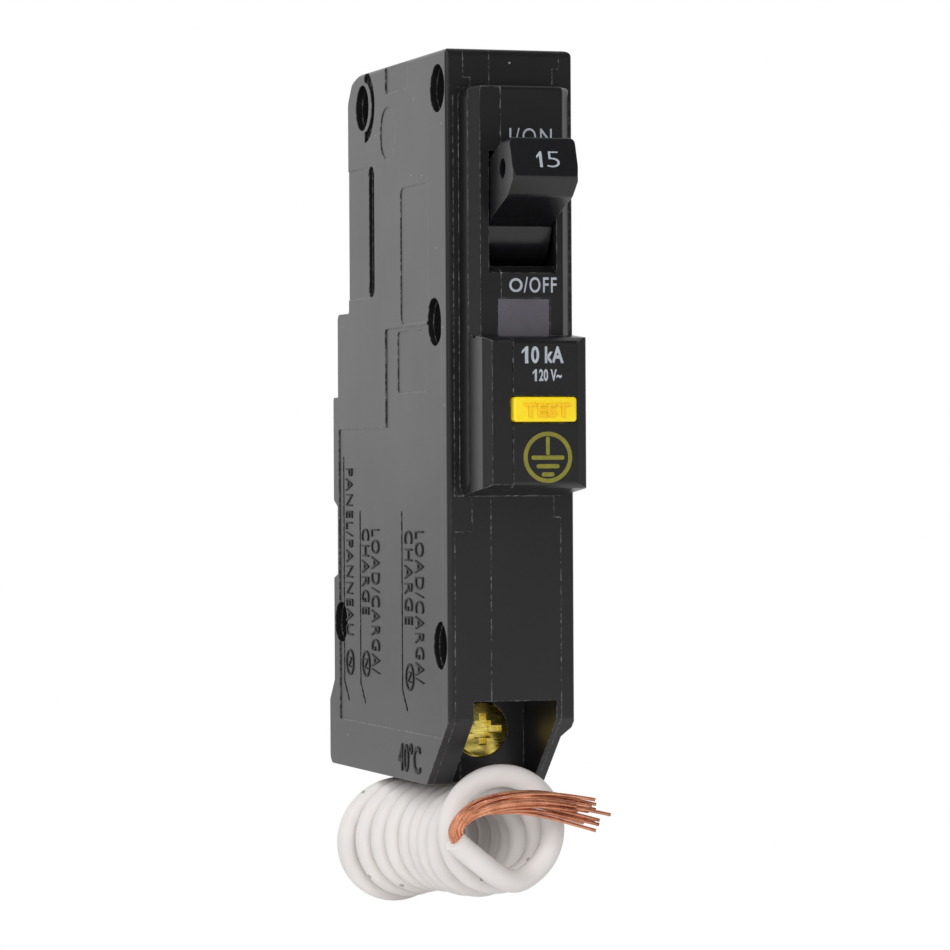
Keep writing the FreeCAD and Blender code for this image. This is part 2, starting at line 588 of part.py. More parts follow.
def make_terminals():
    for name, shape in terminal_set().items():
        write("load_" + name, tilted(shape, (HOT_PLATE_Y, SCREW_Z - 4.6), 0))
        write("neutral_" + name, tilted(shape, NEUTRAL_AT, NEUTRAL_TILT))
    route = [
        (-3.6, 39.8, 13.4), (-3.6, 39.9, 20.0), (-3.5, 46.5, 24.5), (0.6, 46.6, 28.6), (0.6, 46.5, 47.0),
        (0.6, 52.4, 48.6), (0.6, 52.8, 30.4), (0.6, 49.9, 27.0), (0.5, 49.7, 18.0), (0.1, 50.9, FLOOR + 0.4),
    ]
    write("neutral_conductor", route_tube(route, 1.05))


# ---------------------------------------------------------------- electronics

def toroid(z, core_name, winding_name):
    """A ring core with a winding that leaves a short stretch of it bare."""
    cx, cy = 0.6, 45.0
    core = tube(5.6, 4.1, (cx, cy, z + 0.6), (cx, cy, z + 4.6))
    winding = tube(6.2, 3.4, (cx, cy, z), (cx, cy, z + 5.2))
    winding = winding.cut([core, box((cx - 2.2, cx + 2.2), (cy - 8, cy), (z - 1, z + 7))])
    write(core_name, core)
    write(winding_name, winding)


def make_electronics():
    board = box((-8.2, -6.6), (12.0, 50.4), (16.0, 60.0))
    face = -6.6
    write("circuit_board", board)
    chip = box((face, face + 1.9), (33.0, 39.4), (17.6, 26.0))
    write("control_chip", chip)
    write("thyristor", box((face, face + 3.8), (27.4, 32.0), (46.0, 51.0)))
    write("surge_varistor", rod_x(4.2, (18.0, 24.6), (face, face + 4.0)))
    cans = (((27.0, 20.6), 3.0), ((32.6, 39.6), 2.6))
    write("capacitors", *[rod_x(r, at, (face, face + 4.8)) for at, r in cans])
    resistors = [rod(0.9, (face + 0.9, y, 52.6), (face + 0.9, y, 58.4)) for y in (15.0, 18.4, 40.0, 44.0)]
    write("resistors", *resistors)
    toroid(31.0, "sensing_toroid", "sensing_winding")
    toroid(38.0, "grounding_toroid", "grounding_winding")


def make_solenoid():
    cx, cy = 0.2, 20.0
    low, high = 33.4, 50.6
    plates = [box((-5.4, 5.8), (14.6, 26.4), z) for z in ((low - 1, low), (high, high + 1))]
    frame = plates[0].fuse([plates[1], box((-5.4, 5.8), (25.4, 26.4), (low - 1, high + 1))])
    frame = frame.cut(rod(2.1, (cx, cy, low - 3), (cx, cy, high + 3)))
    write("solenoid_frame", frame.removeSplitter())
    bobbin = tube(2.7, 2.1, (cx, cy, low), (cx, cy, high))
    flanges = [tube(5.0, 2.1, (cx, cy, z), (cx, cy, z + 0.9)) for z in (low, high - 0.9)]
    write("solenoid_bobbin", bobbin.fuse(flanges).removeSplitter())
    write("solenoid_coil", tube(4.7, 2.7, (cx, cy, low + 0.9), (cx, cy, high - 0.9)))
    plunger = rod(2.04, (cx, cy, 36.2), (cx, cy, 49.0)).fuse(rod(0.9, (cx, cy, 49.0), (cx, cy, 59.0)))
    plunger = plunger.fuse(rod(1.9, (cx, cy, 57.8), (cx, cy, 59.0))).removeSplitter()
    write("solenoid_plunger", plunger)
    write("plunger_spring", wound_sleeve(1.8, 1.1, (cx, cy, high + 1.05), (cx, cy, 57.75), 0.75))


def make_test_button():
    cap = prism_y(rectangle(BUTTON_X, BUTTON_Z), (LOWER_Y - BUTTON_PROUD, BUTTON_BACK), all_corners(0.5))
    cap = round_edges(cap, 0.3, lambda b: b.YMax < LOWER_Y - BUTTON_PROUD + 0.01)
    flange = box((BUTTON_X[0] - 0.6, BUTTON_X[1] - 0.3), (BUTTON_BACK, BUTTON_BACK + 1.0),
                 (BUTTON_Z[0] - 0.6, BUTTON_Z[1] + 0.6))
    stem = rod(STEM_R, (STEM[0], -8.5, STEM[1]), (STEM[0], -1.6, STEM[1]))
    write("test_button", cap.fuse([flange, stem]).removeSplitter())
    spring = wound_sleeve(2.1, 1.4, (STEM[0], -7.85, STEM[1]), (STEM[0], -2.75, STEM[1]), 0.7)
    write("test_button_spring", spring)
    blade = box((STEM[0] - 1.5, STEM[0] + 1.5), (-0.2, 0.2), (43.8, 56.0))
    post = box((STEM[0] - 1.0, STEM[0] + 1.0), (0.7, 1.5), (50.0, 56.0))
    write("test_contacts", blade, post)


# ---------------------------------------------------------------- neutral wire
LEAD = [(0.0, 51.0, FLOOR), (0.1, 51.0, 5.0), (0.0, 51.0, -2.6), (1.2, 46.6, -4.8), (1.5, 40.2, -8.1)]
TAIL = [(3.3, 2.2, -12.6), (0.6, 1.4, -13.7), (-3.2, 0.3, -12.0), (-9.0, -1.0, -7.1)]
STRANDS = [(-9.0, -1.0, -7.1), (-8.9, -1.7, -4.4), (-5.6, -2.6, -2.0), (1.4, -3.8, -1.4),
           (8.0, -4.7, -2.7), (13.6, -5.3, -4.2)]
STRAND_BUNDLE_R = 1.3
# The coil's envelope from its front face to its back one, as X, Y and Z of the axis and the outer
# radius. It hangs just below the case, and its first turn rises in front of the case's chamfer.
COIL = [(-0.5, 2.2, -6.1, 9.2), (-0.5, 5.4, -6.1, 9.2), (-1.2, 11.0, -8.6, 8.2), (-1.3, 18.9, -8.7, 8.2),
        (-2.9, 26.2, -8.8, 8.2), (-4.6, 33.8, -9.4, 8.7), (-5.8, 40.2, -10.1, 9.3)]


def make_pigtail():
    write("pigtail_lead", route_tube(LEAD, WIRE_R, "lead"))
    rings = [Part.Wire(Part.makeCircle(r, V(x, y, z), Y_AXIS)) for x, y, z, r in COIL]
    write("pigtail_coil", Part.makeLoft(rings, True, True))
    write("pigtail_tail", route_tube(TAIL, WIRE_R, "tail"))
    write("pigtail_bare_end", route_tube(STRANDS, STRAND_BUNDLE_R, "strands"))


os.makedirs("parts", exist_ok=True)
make_covers()
make_housing()
make_rivets()
make_window_and_flag()
make_handle()
make_contact_arm()
make_cradle()
make_line_side()
make_trip_unit()
make_terminals()
make_electronics()
make_solenoid()
make_test_button()
make_pigtail()
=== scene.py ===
# %% [markdown]
# # A plug-on ground-fault breaker
#
# The breaker is a narrow black case that snaps into an electrical panel. A handle, a small window
# and a yellow test button stand on its front, a brass screw sits in its lower corner, and a white
# neutral wire leaves its bottom in a coil. The mechanical design is loaded first, as a frame of named
# parts at their real size. Everything made below is added to that frame, in metres, in the same place.

import json
import math

import bpy
import numpy as np
from mathutils import Matrix, Vector


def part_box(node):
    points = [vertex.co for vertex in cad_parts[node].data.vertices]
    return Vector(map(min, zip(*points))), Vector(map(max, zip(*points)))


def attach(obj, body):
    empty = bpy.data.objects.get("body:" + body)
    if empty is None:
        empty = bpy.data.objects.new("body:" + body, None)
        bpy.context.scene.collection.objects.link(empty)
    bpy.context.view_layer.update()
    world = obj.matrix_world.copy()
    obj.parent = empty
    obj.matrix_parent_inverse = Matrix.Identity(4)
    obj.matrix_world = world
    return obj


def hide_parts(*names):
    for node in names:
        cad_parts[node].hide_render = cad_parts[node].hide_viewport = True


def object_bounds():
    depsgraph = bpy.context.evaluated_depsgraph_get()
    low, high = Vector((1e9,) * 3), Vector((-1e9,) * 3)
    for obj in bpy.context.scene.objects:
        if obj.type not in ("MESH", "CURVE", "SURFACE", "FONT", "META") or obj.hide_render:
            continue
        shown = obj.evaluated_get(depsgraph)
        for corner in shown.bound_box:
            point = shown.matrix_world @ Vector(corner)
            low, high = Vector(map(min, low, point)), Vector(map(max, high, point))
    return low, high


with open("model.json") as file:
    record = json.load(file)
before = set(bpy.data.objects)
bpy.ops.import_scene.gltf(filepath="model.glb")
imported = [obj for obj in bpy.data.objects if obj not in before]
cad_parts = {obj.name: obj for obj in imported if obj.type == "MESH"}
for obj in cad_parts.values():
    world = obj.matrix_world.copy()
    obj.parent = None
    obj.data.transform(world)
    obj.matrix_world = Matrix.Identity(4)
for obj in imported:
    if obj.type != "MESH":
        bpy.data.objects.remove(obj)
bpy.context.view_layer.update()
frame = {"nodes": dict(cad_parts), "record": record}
nodes = frame["nodes"]
for plain in list(bpy.data.materials):
    bpy.data.materials.remove(plain)
print("parts in the frame:", len(nodes))

# %% [markdown]
# ## Places on the case
#
# A drawing of a breaker measures from the case itself: across from its middle, back from its front
# face and up from its bottom, in millimetres. The frame's origin is at the back instead. One small
# function turns the drawing's numbers into the frame's metres, so that every later cell can use the
# numbers that a maker would read from the case.

# %% Case coordinates
MM = 0.001
cover_low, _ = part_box("left_cover")
case_front = cover_low[1]
case_bottom = cover_low[2]


def at(x, y, z):
    """Millimetres across, back and up from the case's front lower edge, as a point in the frame."""
    return Vector((x * MM, case_front + y * MM, case_bottom + z * MM))


print("front face at y =", round(case_front, 4), "bottom at z =", round(case_bottom, 4))

# %% [markdown]
# ## The camera
#
# The view is from in front, 18 degrees round to the left, level with the middle of the case. A long
# lens far away keeps the upright edges of the case nearly parallel, as they are in a catalogue
# picture. The turn, the tilt and the small roll are three rotations, one after another.

# %% Camera
CAMERA_AT = (-0.1909, -0.6419, -0.0024)
CAMERA_TURN = math.radians(17.66)
CAMERA_TILT = math.radians(-0.15)
CAMERA_ROLL = math.radians(-0.29)
LENS_MM = 163.4

camera_data = bpy.data.cameras.new("camera")
camera_data.lens = LENS_MM
camera_data.sensor_width = 36.0
camera_data.clip_end = 20.0
camera = bpy.data.objects.new("camera", camera_data)
bpy.context.scene.collection.objects.link(camera)
camera.matrix_world = (
    Matrix.Translation(CAMERA_AT)
    @ Matrix.Rotation(-CAMERA_TURN, 4, "Z")
    @ Matrix.Rotation(math.radians(90) + CAMERA_TILT, 4, "X")
    @ Matrix.Rotation(CAMERA_ROLL, 4, "Z")
)
bpy.context.scene.camera = camera
print("camera at", CAMERA_AT, "lens", LENS_MM)

# %% [markdown]
# ## Nodes in a few words
#
# A material is a small network of nodes. Two helpers keep each finish short: one makes a material
# and hands over its main shader, and one adds a node, sets its values and links whatever is a socket.

# %% Material helpers
def start_material(name, **values):
    """A new material whose main shader has the given values. Returns it, its nodes and the shader."""
    material = bpy.data.materials.new(name)
    material.use_nodes = True
    tree = material.node_tree
    shader = tree.nodes["Principled BSDF"]
    for key, value in values.items():
        shader.inputs[key.replace("_", " ")].default_value = value
    return material, tree, shader


def add(tree, kind, settings=None, **inputs):
    """Adds a node. An input that is a socket is linked, and any other is set as a value."""
    node = tree.nodes.new("ShaderNode" + kind)
    for key, value in (settings or {}).items():
        setattr(node, key, value)
    for key, value in inputs.items():
        socket = node.inputs[int(key[1:])] if key[0] == "_" else node.inputs[key.replace("_", " ")]
        if isinstance(value, bpy.types.NodeSocket):
            tree.links.new(value, socket)
        else:
            socket.default_value = value
    return node


def blotches(tree, scale, low, high, detail=3.0, stretch=(1, 1, 1)):
    """Smooth random patches over the surface, from the value low to the value high."""
    place = add(tree, "TexCoord").outputs["Object"]
    place = add(tree, "Mapping", Vector=place, Scale=stretch).outputs["Vector"]
    noise = add(tree, "TexNoise", Vector=place, Scale=scale, Detail=detail)
    spread = add(tree, "MapRange", Value=noise.outputs["Fac"], To_Min=low, To_Max=high)
    spread.inputs["From Min"].default_value = 0.3
    spread.inputs["From Max"].default_value = 0.7
    return spread.outputs["Result"]


def two_colours(tree, mask, first, second):
    """A blend of two colours, where mask is 0 and where it is 1."""
    mix = add(tree, "Mix", {"data_type": "RGBA"}, _0=mask)
    mix.inputs[6].default_value = (*first, 1)
    mix.inputs[7].default_value = (*second, 1)
    return mix.outputs[2]


def tint(tree, mask, base, colour):
    """Lays one colour over a colour socket where mask is 1."""
    mix = add(tree, "Mix", {"data_type": "RGBA"}, _0=mask, _6=base)
    mix.inputs[7].default_value = (*colour, 1)
    return mix.outputs[2]


def product(tree, a, b):
    """Two values multiplied."""
    return add(tree, "Math", {"operation": "MULTIPLY"}, _0=a, _1=b).outputs[0]


def soft_arris(tree, radius, bump_strength, bump_scale):
    """A rounded look at sharp edges with a fine moulding texture on top, and a mask of those edges.

    The mask is one minus the cosine between the rounded normal and the true one, stretched to 0..1.
    """
    rounded = add(tree, "Bevel", {"samples": 6}, Radius=radius).outputs["Normal"]
    flat = add(tree, "NewGeometry").outputs["Normal"]
    cosine = add(tree, "VectorMath", {"operation": "DOT_PRODUCT"}, _0=rounded, _1=flat).outputs["Value"]
    edge = add(tree, "MapRange", Value=cosine)
    for key, value in (("From Min", 0.995), ("From Max", 0.9), ("To Min", 0.0), ("To Max", 1.0)):
        edge.inputs[key].default_value = value
    place = add(tree, "TexCoord").outputs["Object"]
    grain = add(tree, "TexNoise", Vector=place, Scale=bump_scale, Detail=2.0)
    bump = add(tree, "Bump", Strength=bump_strength, Distance=0.02 * MM, Height=grain.outputs["Fac"],
               Normal=rounded)
    return bump.outputs["Normal"], edge.outputs["Result"]


print("material helpers ready")

# %% [markdown]
# ## Black moulded thermoset
#
# The case is pressed from a black, mineral-filled thermoset. It is almost black face on, and it
# turns grey at a shallow angle, because a slightly rough surface mirrors the room more and more
# towards grazing. So the colour is nearly black and the gloss does most of the work. The arrises
# are painted lighter in patches, partly as handling wear and partly as a painted highlight along the
# edges, and the faces carry a few specks of dust. The specks are the cores of a few random
# Voronoi cells.

# %% Moulded plastic
def dust_specks(tree, scale, size, share):
    """Small round specks: cores of random cells, kept in only the given share of the cells."""
    place = add(tree, "TexCoord").outputs["Object"]
    cells = add(tree, "TexVoronoi", Vector=place, Scale=scale)
    near = add(tree, "Math", {"operation": "LESS_THAN"}, _0=cells.outputs["Distance"], _1=size).outputs[0]
    lot = add(tree, "SeparateColor", Color=cells.outputs["Color"]).outputs["Red"]
    chosen = add(tree, "Math", {"operation": "LESS_THAN"}, _0=lot, _1=share).outputs[0]
    return product(tree, near, chosen)


def moulded_plastic(name, colour, wear_and_highlight_colour, rough, wear_and_highlight_amount=0.9, dust=0.03):
    """Black plastic: two near-black tones in patches, arrises painted lighter for wear and highlight, dust
    and uneven gloss.
    """
    material, tree, shader = start_material(name, IOR=1.5)
    normal, edge = soft_arris(tree, 0.2 * MM, 0.10, 2400)
    # Wear and painted highlight: the edge mask in patches, where the arrises are painted lighter, partly as
    # handling wear and partly as a painted highlight.
    wear_and_highlight_mask = product(tree, edge, blotches(tree, 1500, -0.5, wear_and_highlight_amount))
    paler = tuple(1.25 * c for c in colour)
    tone = two_colours(tree, blotches(tree, 90, 0.0, 1.0), colour, paler)
    tone = tint(tree, wear_and_highlight_mask, tone, wear_and_highlight_colour)
    tone = tint(tree, dust_specks(tree, 420, 0.06, dust), tone, (0.30, 0.29, 0.28))
    tree.links.new(tone, shader.inputs["Base Color"])
    tree.links.new(blotches(tree, 60, rough - 0.02, rough + 0.02), shader.inputs["Roughness"])
    tree.links.new(normal, shader.inputs["Normal"])
    return material


# The second colour is the lighter tone painted on the arrises, partly wear and partly a painted highlight.
case_plastic = moulded_plastic("case_plastic", (0.0075, 0.0072, 0.008), (0.30, 0.29, 0.29), 0.30)
letter_black = moulded_plastic("letter_black", (0.010, 0.010, 0.011), (0.03, 0.03, 0.03), 0.62, 0.4, 0.0)
handle_plastic = moulded_plastic("handle_plastic", (0.006, 0.006, 0.007), (0.09, 0.088, 0.086), 0.26, 0.5)
print("made", case_plastic.name, "and", handle_plastic.name)

# %% [markdown]
# ## The other plastics
#
# The test button is a bright yellow nylon, the bobbin a natural one, the flag a flat red. The window
# is a smoky clear plastic that shows more reflection than view. The wire's insulation is a white
# PVC, with faint rub marks and grey handling stains.

# %% Coloured plastics
def coloured_plastic(name, colour, shade, rough, **values):
    """A coloured plastic: patches of a slightly darker shade, soft arrises and a fine texture."""
    material, tree, shader = start_material(name, IOR=1.5, **values)
    normal, edge = soft_arris(tree, 0.10 * MM, 0.15, 2400)
    tone = two_colours(tree, blotches(tree, 240, 0.0, 1.0), colour, shade)
    # Painted highlight: the arrises are painted paler through the edge mask.
    pale = tuple(min(1.0, 1.15 * c + 0.02) for c in colour)
    tone = tint(tree, product(tree, edge, blotches(tree, 500, 0.1, 0.7)), tone, pale)
    tree.links.new(tone, shader.inputs["Base Color"])
    tree.links.new(blotches(tree, 300, rough - 0.05, rough + 0.07), shader.inputs["Roughness"])
    tree.links.new(normal, shader.inputs["Normal"])
    return material


yellow_plastic = coloured_plastic("yellow_plastic", (0.92, 0.70, 0.014), (0.88, 0.64, 0.010), 0.33)
red_flag = coloured_plastic("red_flag", (0.60, 0.02, 0.015), (0.50, 0.015, 0.01), 0.5)
bobbin_plastic = coloured_plastic("bobbin_plastic", (0.62, 0.58, 0.48), (0.55, 0.51, 0.42), 0.45)
clear_plastic = coloured_plastic("clear_plastic", (0.10, 0.095, 0.11), (0.12, 0.115, 0.135), 0.22,
                                 Transmission_Weight=0.15, Coat_Weight=0.5, Coat_Roughness=0.12)
fibre_board = coloured_plastic("fibre_board", (0.16, 0.11, 0.08), (0.12, 0.08, 0.06), 0.75)
moulded_component = coloured_plastic("moulded_component", (0.02, 0.02, 0.022), (0.03, 0.03, 0.03), 0.5)
component_coating = coloured_plastic("component_coating", (0.03, 0.09, 0.30), (0.02, 0.07, 0.24), 0.3)
ferrite = coloured_plastic("ferrite", (0.06, 0.06, 0.065), (0.04, 0.04, 0.045), 0.55)
circuit_laminate = coloured_plastic("circuit_laminate", (0.012, 0.12, 0.05), (0.01, 0.09, 0.035), 0.35)
# Painted shade: the button word is a darker copy of the button's own yellow, standing in for the shade on its
# raised letters.
shaded_letter_yellow = coloured_plastic("shaded_letter_yellow", (0.90, 0.55, 0.008), (0.86, 0.50, 0.006), 0.35)
print("coloured plastics made")

# %% [markdown]
# ## Metals
#
# Each metal is one colour with a little play in it: patches of tarnish, and fine tool marks that run
# one way, which are a noise stretched a long way across the marks. Only roughness and bump carry
# the marks, so the colour stays clean.

# %% Metals
def worn_metal(name, colour, tarnish, rough, marks=(1, 1, 12), metallic=0.9):
    """A metal in two tones, with drawn-out fine marks in its roughness and bump."""
    material, tree, shader = start_material(name, Metallic=metallic)
    normal, edge = soft_arris(tree, 0.08 * MM, 0.2, 1800)
    tone = two_colours(tree, blotches(tree, 420, 0.0, 1.0), colour, tarnish)
    # Painted highlight: the arrises are painted brighter than the metal's own colour.
    bright = tuple(min(1, 1.1 * c) for c in colour)
    tone = tint(tree, product(tree, edge, blotches(tree, 900, 0.0, 0.6)), tone, bright)
    tree.links.new(tone, shader.inputs["Base Color"])
    tree.links.new(blotches(tree, 500, rough - 0.08, rough + 0.12, stretch=marks), shader.inputs["Roughness"])
    tree.links.new(normal, shader.inputs["Normal"])
    return material


plated_steel = worn_metal("plated_steel", (0.56, 0.56, 0.57), (0.42, 0.42, 0.42), 0.35)
spring_steel = worn_metal("spring_steel", (0.48, 0.48, 0.50), (0.36, 0.35, 0.34), 0.3)
copper = worn_metal("copper", (0.86, 0.44, 0.28), (0.68, 0.30, 0.18), 0.32)
silver_contact = worn_metal("silver_contact", (0.82, 0.81, 0.78), (0.62, 0.60, 0.56), 0.3)
bimetal_strip = worn_metal("bimetal_strip", (0.60, 0.57, 0.50), (0.46, 0.42, 0.36), 0.35)
yellow_brass = worn_metal("yellow_brass", (0.95, 0.78, 0.20), (0.62, 0.46, 0.09), 0.22, metallic=1.0)
magnet_wire = worn_metal("magnet_wire", (0.60, 0.20, 0.07), (0.46, 0.13, 0.04), 0.25, (1, 1, 30))
bare_copper = worn_metal("bare_copper", (0.90, 0.42, 0.25), (0.50, 0.17, 0.09), 0.24, metallic=0.8)
print("metals made")

# %% [markdown]
# ## A finish for every part
#
# The record says which finish each part of the frame has, by name. The materials above have those
# same names, so one loop gives every part its own.

# %% Assign finishes
finishes = {
    m.name: m
    for m in (case_plastic, handle_plastic, clear_plastic, red_flag, yellow_plastic, plated_steel,
              spring_steel, copper, silver_contact, bimetal_strip, fibre_board, yellow_brass,
              circuit_laminate, moulded_component, component_coating, ferrite, magnet_wire,
              bobbin_plastic, bare_copper)
}


def white_pvc():
    """White wire insulation: warm white with grey handling stains and a soft, uneven gloss."""
    material, tree, shader = start_material("white_insulation", IOR=1.5, Subsurface_Weight=0.08)
    shader.inputs["Subsurface Radius"].default_value = (1.0, 0.8, 0.7)
    shader.inputs["Subsurface Scale"].default_value = 0.6 * MM
    stains = blotches(tree, 110, 0.0, 0.6, detail=5.0)
    tone = two_colours(tree, stains, (0.80, 0.765, 0.745), (0.70, 0.665, 0.645))
    tone = tint(tree, dust_specks(tree, 260, 0.10, 0.10), tone, (0.42, 0.38, 0.36))
    tree.links.new(tone, shader.inputs["Base Color"])
    tree.links.new(blotches(tree, 240, 0.30, 0.45), shader.inputs["Roughness"])
    place = add(tree, "TexCoord").outputs["Object"]
    grain = add(tree, "TexNoise", Vector=place, Scale=900.0, Detail=3.0)
    bump = add(tree, "Bump", Strength=0.25, Distance=0.03 * MM, Height=grain.outputs["Fac"])
    tree.links.new(bump.outputs["Normal"], shader.inputs["Normal"])
    return material


finishes["white_insulation"] = white_insulation = white_pvc()


def paint(thing, material):
    """Makes a material the only one on a mesh or curve."""
    thing.data.materials.clear()
    thing.data.materials.append(material)


for part in frame["record"]["subparts"]:
    paint(nodes[part["node"]], finishes[part["material_slot"]])

# %% [markdown]
# ## The neutral wire
#
# A breaker of this kind comes with its white neutral wire already wound into a tight coil, and the
# installer unwinds as much as the panel needs. The coil is a helix that hangs below the case. The
# turns were wound by hand, so the axis drifts and each turn has its own size. The wire is drawn as
# one smooth NURBS line: a few chosen points where it leaves the case, a loop that makes the turns,
# and a few chosen points to its cut end. A round bevel then gives it its thickness.

# %% Route of the wire
WIRE_R = 1.65
LEAD = [(0.1, 51.0, 3.0), (0.0, 51.0, -2.6), (1.2, 46.6, -4.8)]
TAIL = [(0.6, 1.4, -13.7), (-3.2, 0.3, -12.0), (-9.0, -1.0, -7.1)]
POINTS_PER_TURN = 16
FIRST_ANGLE = 75
LAST_ANGLE = 9 * 360 + 150
# Where each turn passes on the left: distance back, middle across and up, and outer radius
TURNS = np.array([
    (38.0, -5.85, -10.1, 9.2), (33.8, -4.6, -9.2, 8.75), (29.9, -3.72, -8.8, 8.45),
    (26.2, -2.86, -8.45, 8.25), (22.5, -1.82, -8.42, 8.25), (18.9, -1.35, -8.4, 8.25),
    (15.2, -1.24, -8.4, 8.25), (10.8, -1.21, -8.15, 8.15), (4.2, -0.56, -6.0, 9.1)])


def coil_points():
    """Angle runs on from the first to the last, and the axis and radius are read between the turns.

    A point is the axis plus the wire's own radius times (sine, cosine) of the angle from the top.
    """
    count = round((LAST_ANGLE - FIRST_ANGLE) / 360 * POINTS_PER_TURN)
    angle = np.linspace(FIRST_ANGLE, LAST_ANGLE, count + 1)
    passes = 270.0 + 360.0 * np.arange(len(TURNS))
    ends = np.vstack([TURNS[0] + (2.1, 0, 0, 0), TURNS, TURNS[-1] - (1.6, 0, 0, 0)])
    knots = np.concatenate([[FIRST_ANGLE], passes, [LAST_ANGLE]])
    back, across, up, outer = (np.interp(angle, knots, ends[:, i]) for i in range(4))
    reach = (outer - WIRE_R) / math.cos(math.pi / POINTS_PER_TURN) ** 2
    turn = np.radians(angle)
    return np.stack([across + reach * np.sin(turn), back, up + reach * np.cos(turn)], axis=1)


def nurbs_line(name, points, bevel=0.0):
    """A smooth open line with the points as its controls, round and capped where bevel is given."""
    curve = bpy.data.curves.new(name, "CURVE")
    curve.dimensions = "3D"
    spline = curve.splines.new("NURBS")
    spline.points.add(len(points) - 1)
    rows = [(*at(*p), 1.0) for p in points]
    spline.points.foreach_set("co", np.array(rows, dtype=np.float32).ravel())
    spline.order_u = 3
    spline.use_endpoint_u = True
    spline.resolution_u = 5
    curve.bevel_depth = bevel
    curve.bevel_resolution = 6
    curve.use_fill_caps = bevel > 0
    line = bpy.data.objects.new(name, curve)
    bpy.context.scene.collection.objects.link(line)
    return line


def line_of(curve_object):
    """The points that a curve without a bevel runs through, in order."""
    mesh = bpy.data.meshes.new_from_object(curve_object)
    found = np.empty(3 * len(mesh.vertices), dtype=np.float32)
    mesh.vertices.foreach_get("co", found)
    bpy.data.meshes.remove(mesh)
    return found.reshape(-1, 3).astype(float)


def length_of(points):
    """Sum of the distances between neighbouring points."""
    return float(np.linalg.norm(np.diff(points, axis=0), axis=1).sum())


route = LEAD + [tuple(p) for p in coil_points()] + TAIL
bare_line = nurbs_line("wire_route", route)
wire_length = length_of(line_of(bare_line))
bpy.data.objects.remove(bare_line)
print("control points", len(route), "wire length", round(wire_length, 4), "m")

# %% The insulated wire
wire_insulation = nurbs_line("wire_insulation", route, WIRE_R * MM)
paint(wire_insulation, white_insulation)
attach(wire_insulation, "case")
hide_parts("pigtail_lead", "pigtail_coil", "pigtail_tail")
print("insulated wire, diameter", 2 * WIRE_R, "mm")

# %% [markdown]
# ## Bare copper strands
#
# At the cut end the insulation is stripped and the fine copper strands spring apart. Each strand
# follows the bundle's own line. It keeps its place in the bundle's round section, turns a little
# about the line as the strands' lay does, and moves outward towards the tip. The tubes are made all
# at once: every strand, every station and every corner of the section is one entry of an array.

# %% Strands
STRANDS = [(-5.6, -0.1, -9.9), (-9.0, -1.0, -7.1), (-8.9, -1.7, -4.4), (-5.6, -2.6, -2.0), (1.4, -3.8, -1.4),
           (8.0, -4.7, -2.7), (13.6, -5.3, -4.2)]
STRAND_R = 0.25
STRAND_COUNT = 26
SECTION = 8
BUNDLE_R = 1.22
GOLDEN_ANGLE = math.radians(137.5)
LAY_TURN = 2.2
WAVE_TURNS = 17.0
WAVE_HEIGHT = 0.16
STRAY = 1.1


def tube_faces(tubes, stations, corners):
    """Quads between neighbouring rings of each tube, and one polygon on each of its two ends."""
    ring = np.arange(corners)
    start = (np.arange(tubes)[:, None, None] * stations + np.arange(stations - 1)[None, :, None]) * corners
    a, b = start + ring, start + np.roll(ring, -1)
    quads = np.stack([a, b, b + corners, a + corners], axis=-1).reshape(-1, 4)
    first = np.arange(tubes)[:, None] * stations * corners
    ends = np.vstack([first + ring[::-1], first + (stations - 1) * corners + ring])
    return quads.tolist() + ends.tolist()


def strand_mesh():
    """Centre of strand i at station t: line(t) + spread(t) * (cos a, sin a) in the line's cross-section.

    a is the strand's own angle plus a slow turn along the line, and spread is its own radius times a
    growth that is 0.8 in the insulation and 1.1 at the tip. Each strand also waves up and down a
    little, strays from the bundle towards its tip, and ends at a length of its own.
    """
    line = nurbs_line("strand_route", STRANDS)
    middle = line_of(line)
    bpy.data.objects.remove(line)
    stations = len(middle)
    t = np.linspace(0, 1, stations)
    rng = np.random.default_rng(8)
    rank = (np.arange(STRAND_COUNT) + 0.5) / STRAND_COUNT
    radius = BUNDLE_R * MM * np.sqrt(rank)
    own_angle = np.arange(STRAND_COUNT) * GOLDEN_ANGLE
    stray = rng.normal(0.0, 1.0, (STRAND_COUNT, 2))
    reach = rng.uniform(0.86, 1.0, STRAND_COUNT)
    along = t[None, :] * reach[:, None]
    path = np.stack([np.interp(along, t, middle[:, k]) for k in range(3)], axis=-1)
    tangent = np.gradient(path, axis=1)
    tangent /= np.linalg.norm(tangent, axis=2, keepdims=True)
    side = np.cross(tangent, (0.0, 1.0, 0.0))
    side /= np.linalg.norm(side, axis=2, keepdims=True)
    lift = np.cross(side, tangent)
    grow = 0.82 + 0.4 * np.clip(along - 0.25, 0, 1)
    angle = own_angle[:, None] + LAY_TURN * along
    wander = np.clip(along - 0.3, 0, 1)[..., None] ** 1.5 * stray[:, None, :] * STRAY * MM
    in_side = radius[:, None] * grow * np.cos(angle) + wander[..., 0]
    in_lift = radius[:, None] * grow * np.sin(angle) * 0.8 + wander[..., 1] * 0.5
    wave = np.sin(along * WAVE_TURNS + own_angle[:, None]) * WAVE_HEIGHT * MM * np.clip(along * 2, 0, 1)
    in_lift = in_lift + wave
    centre = path + side * in_side[..., None] + lift * in_lift[..., None]
    corner = np.linspace(0, 2 * math.pi, SECTION, endpoint=False)
    ring = np.cos(corner)[:, None] * side[:, :, None, :] + np.sin(corner)[:, None] * lift[:, :, None, :]
    verts = centre[:, :, None, :] + STRAND_R * MM * ring
    mesh = bpy.data.meshes.new("copper_strands")
    mesh.from_pydata(verts.reshape(-1, 3).tolist(), [], tube_faces(STRAND_COUNT, stations, SECTION))
    mesh.polygons.foreach_set("use_smooth", np.ones(len(mesh.polygons), dtype=bool))
    return mesh


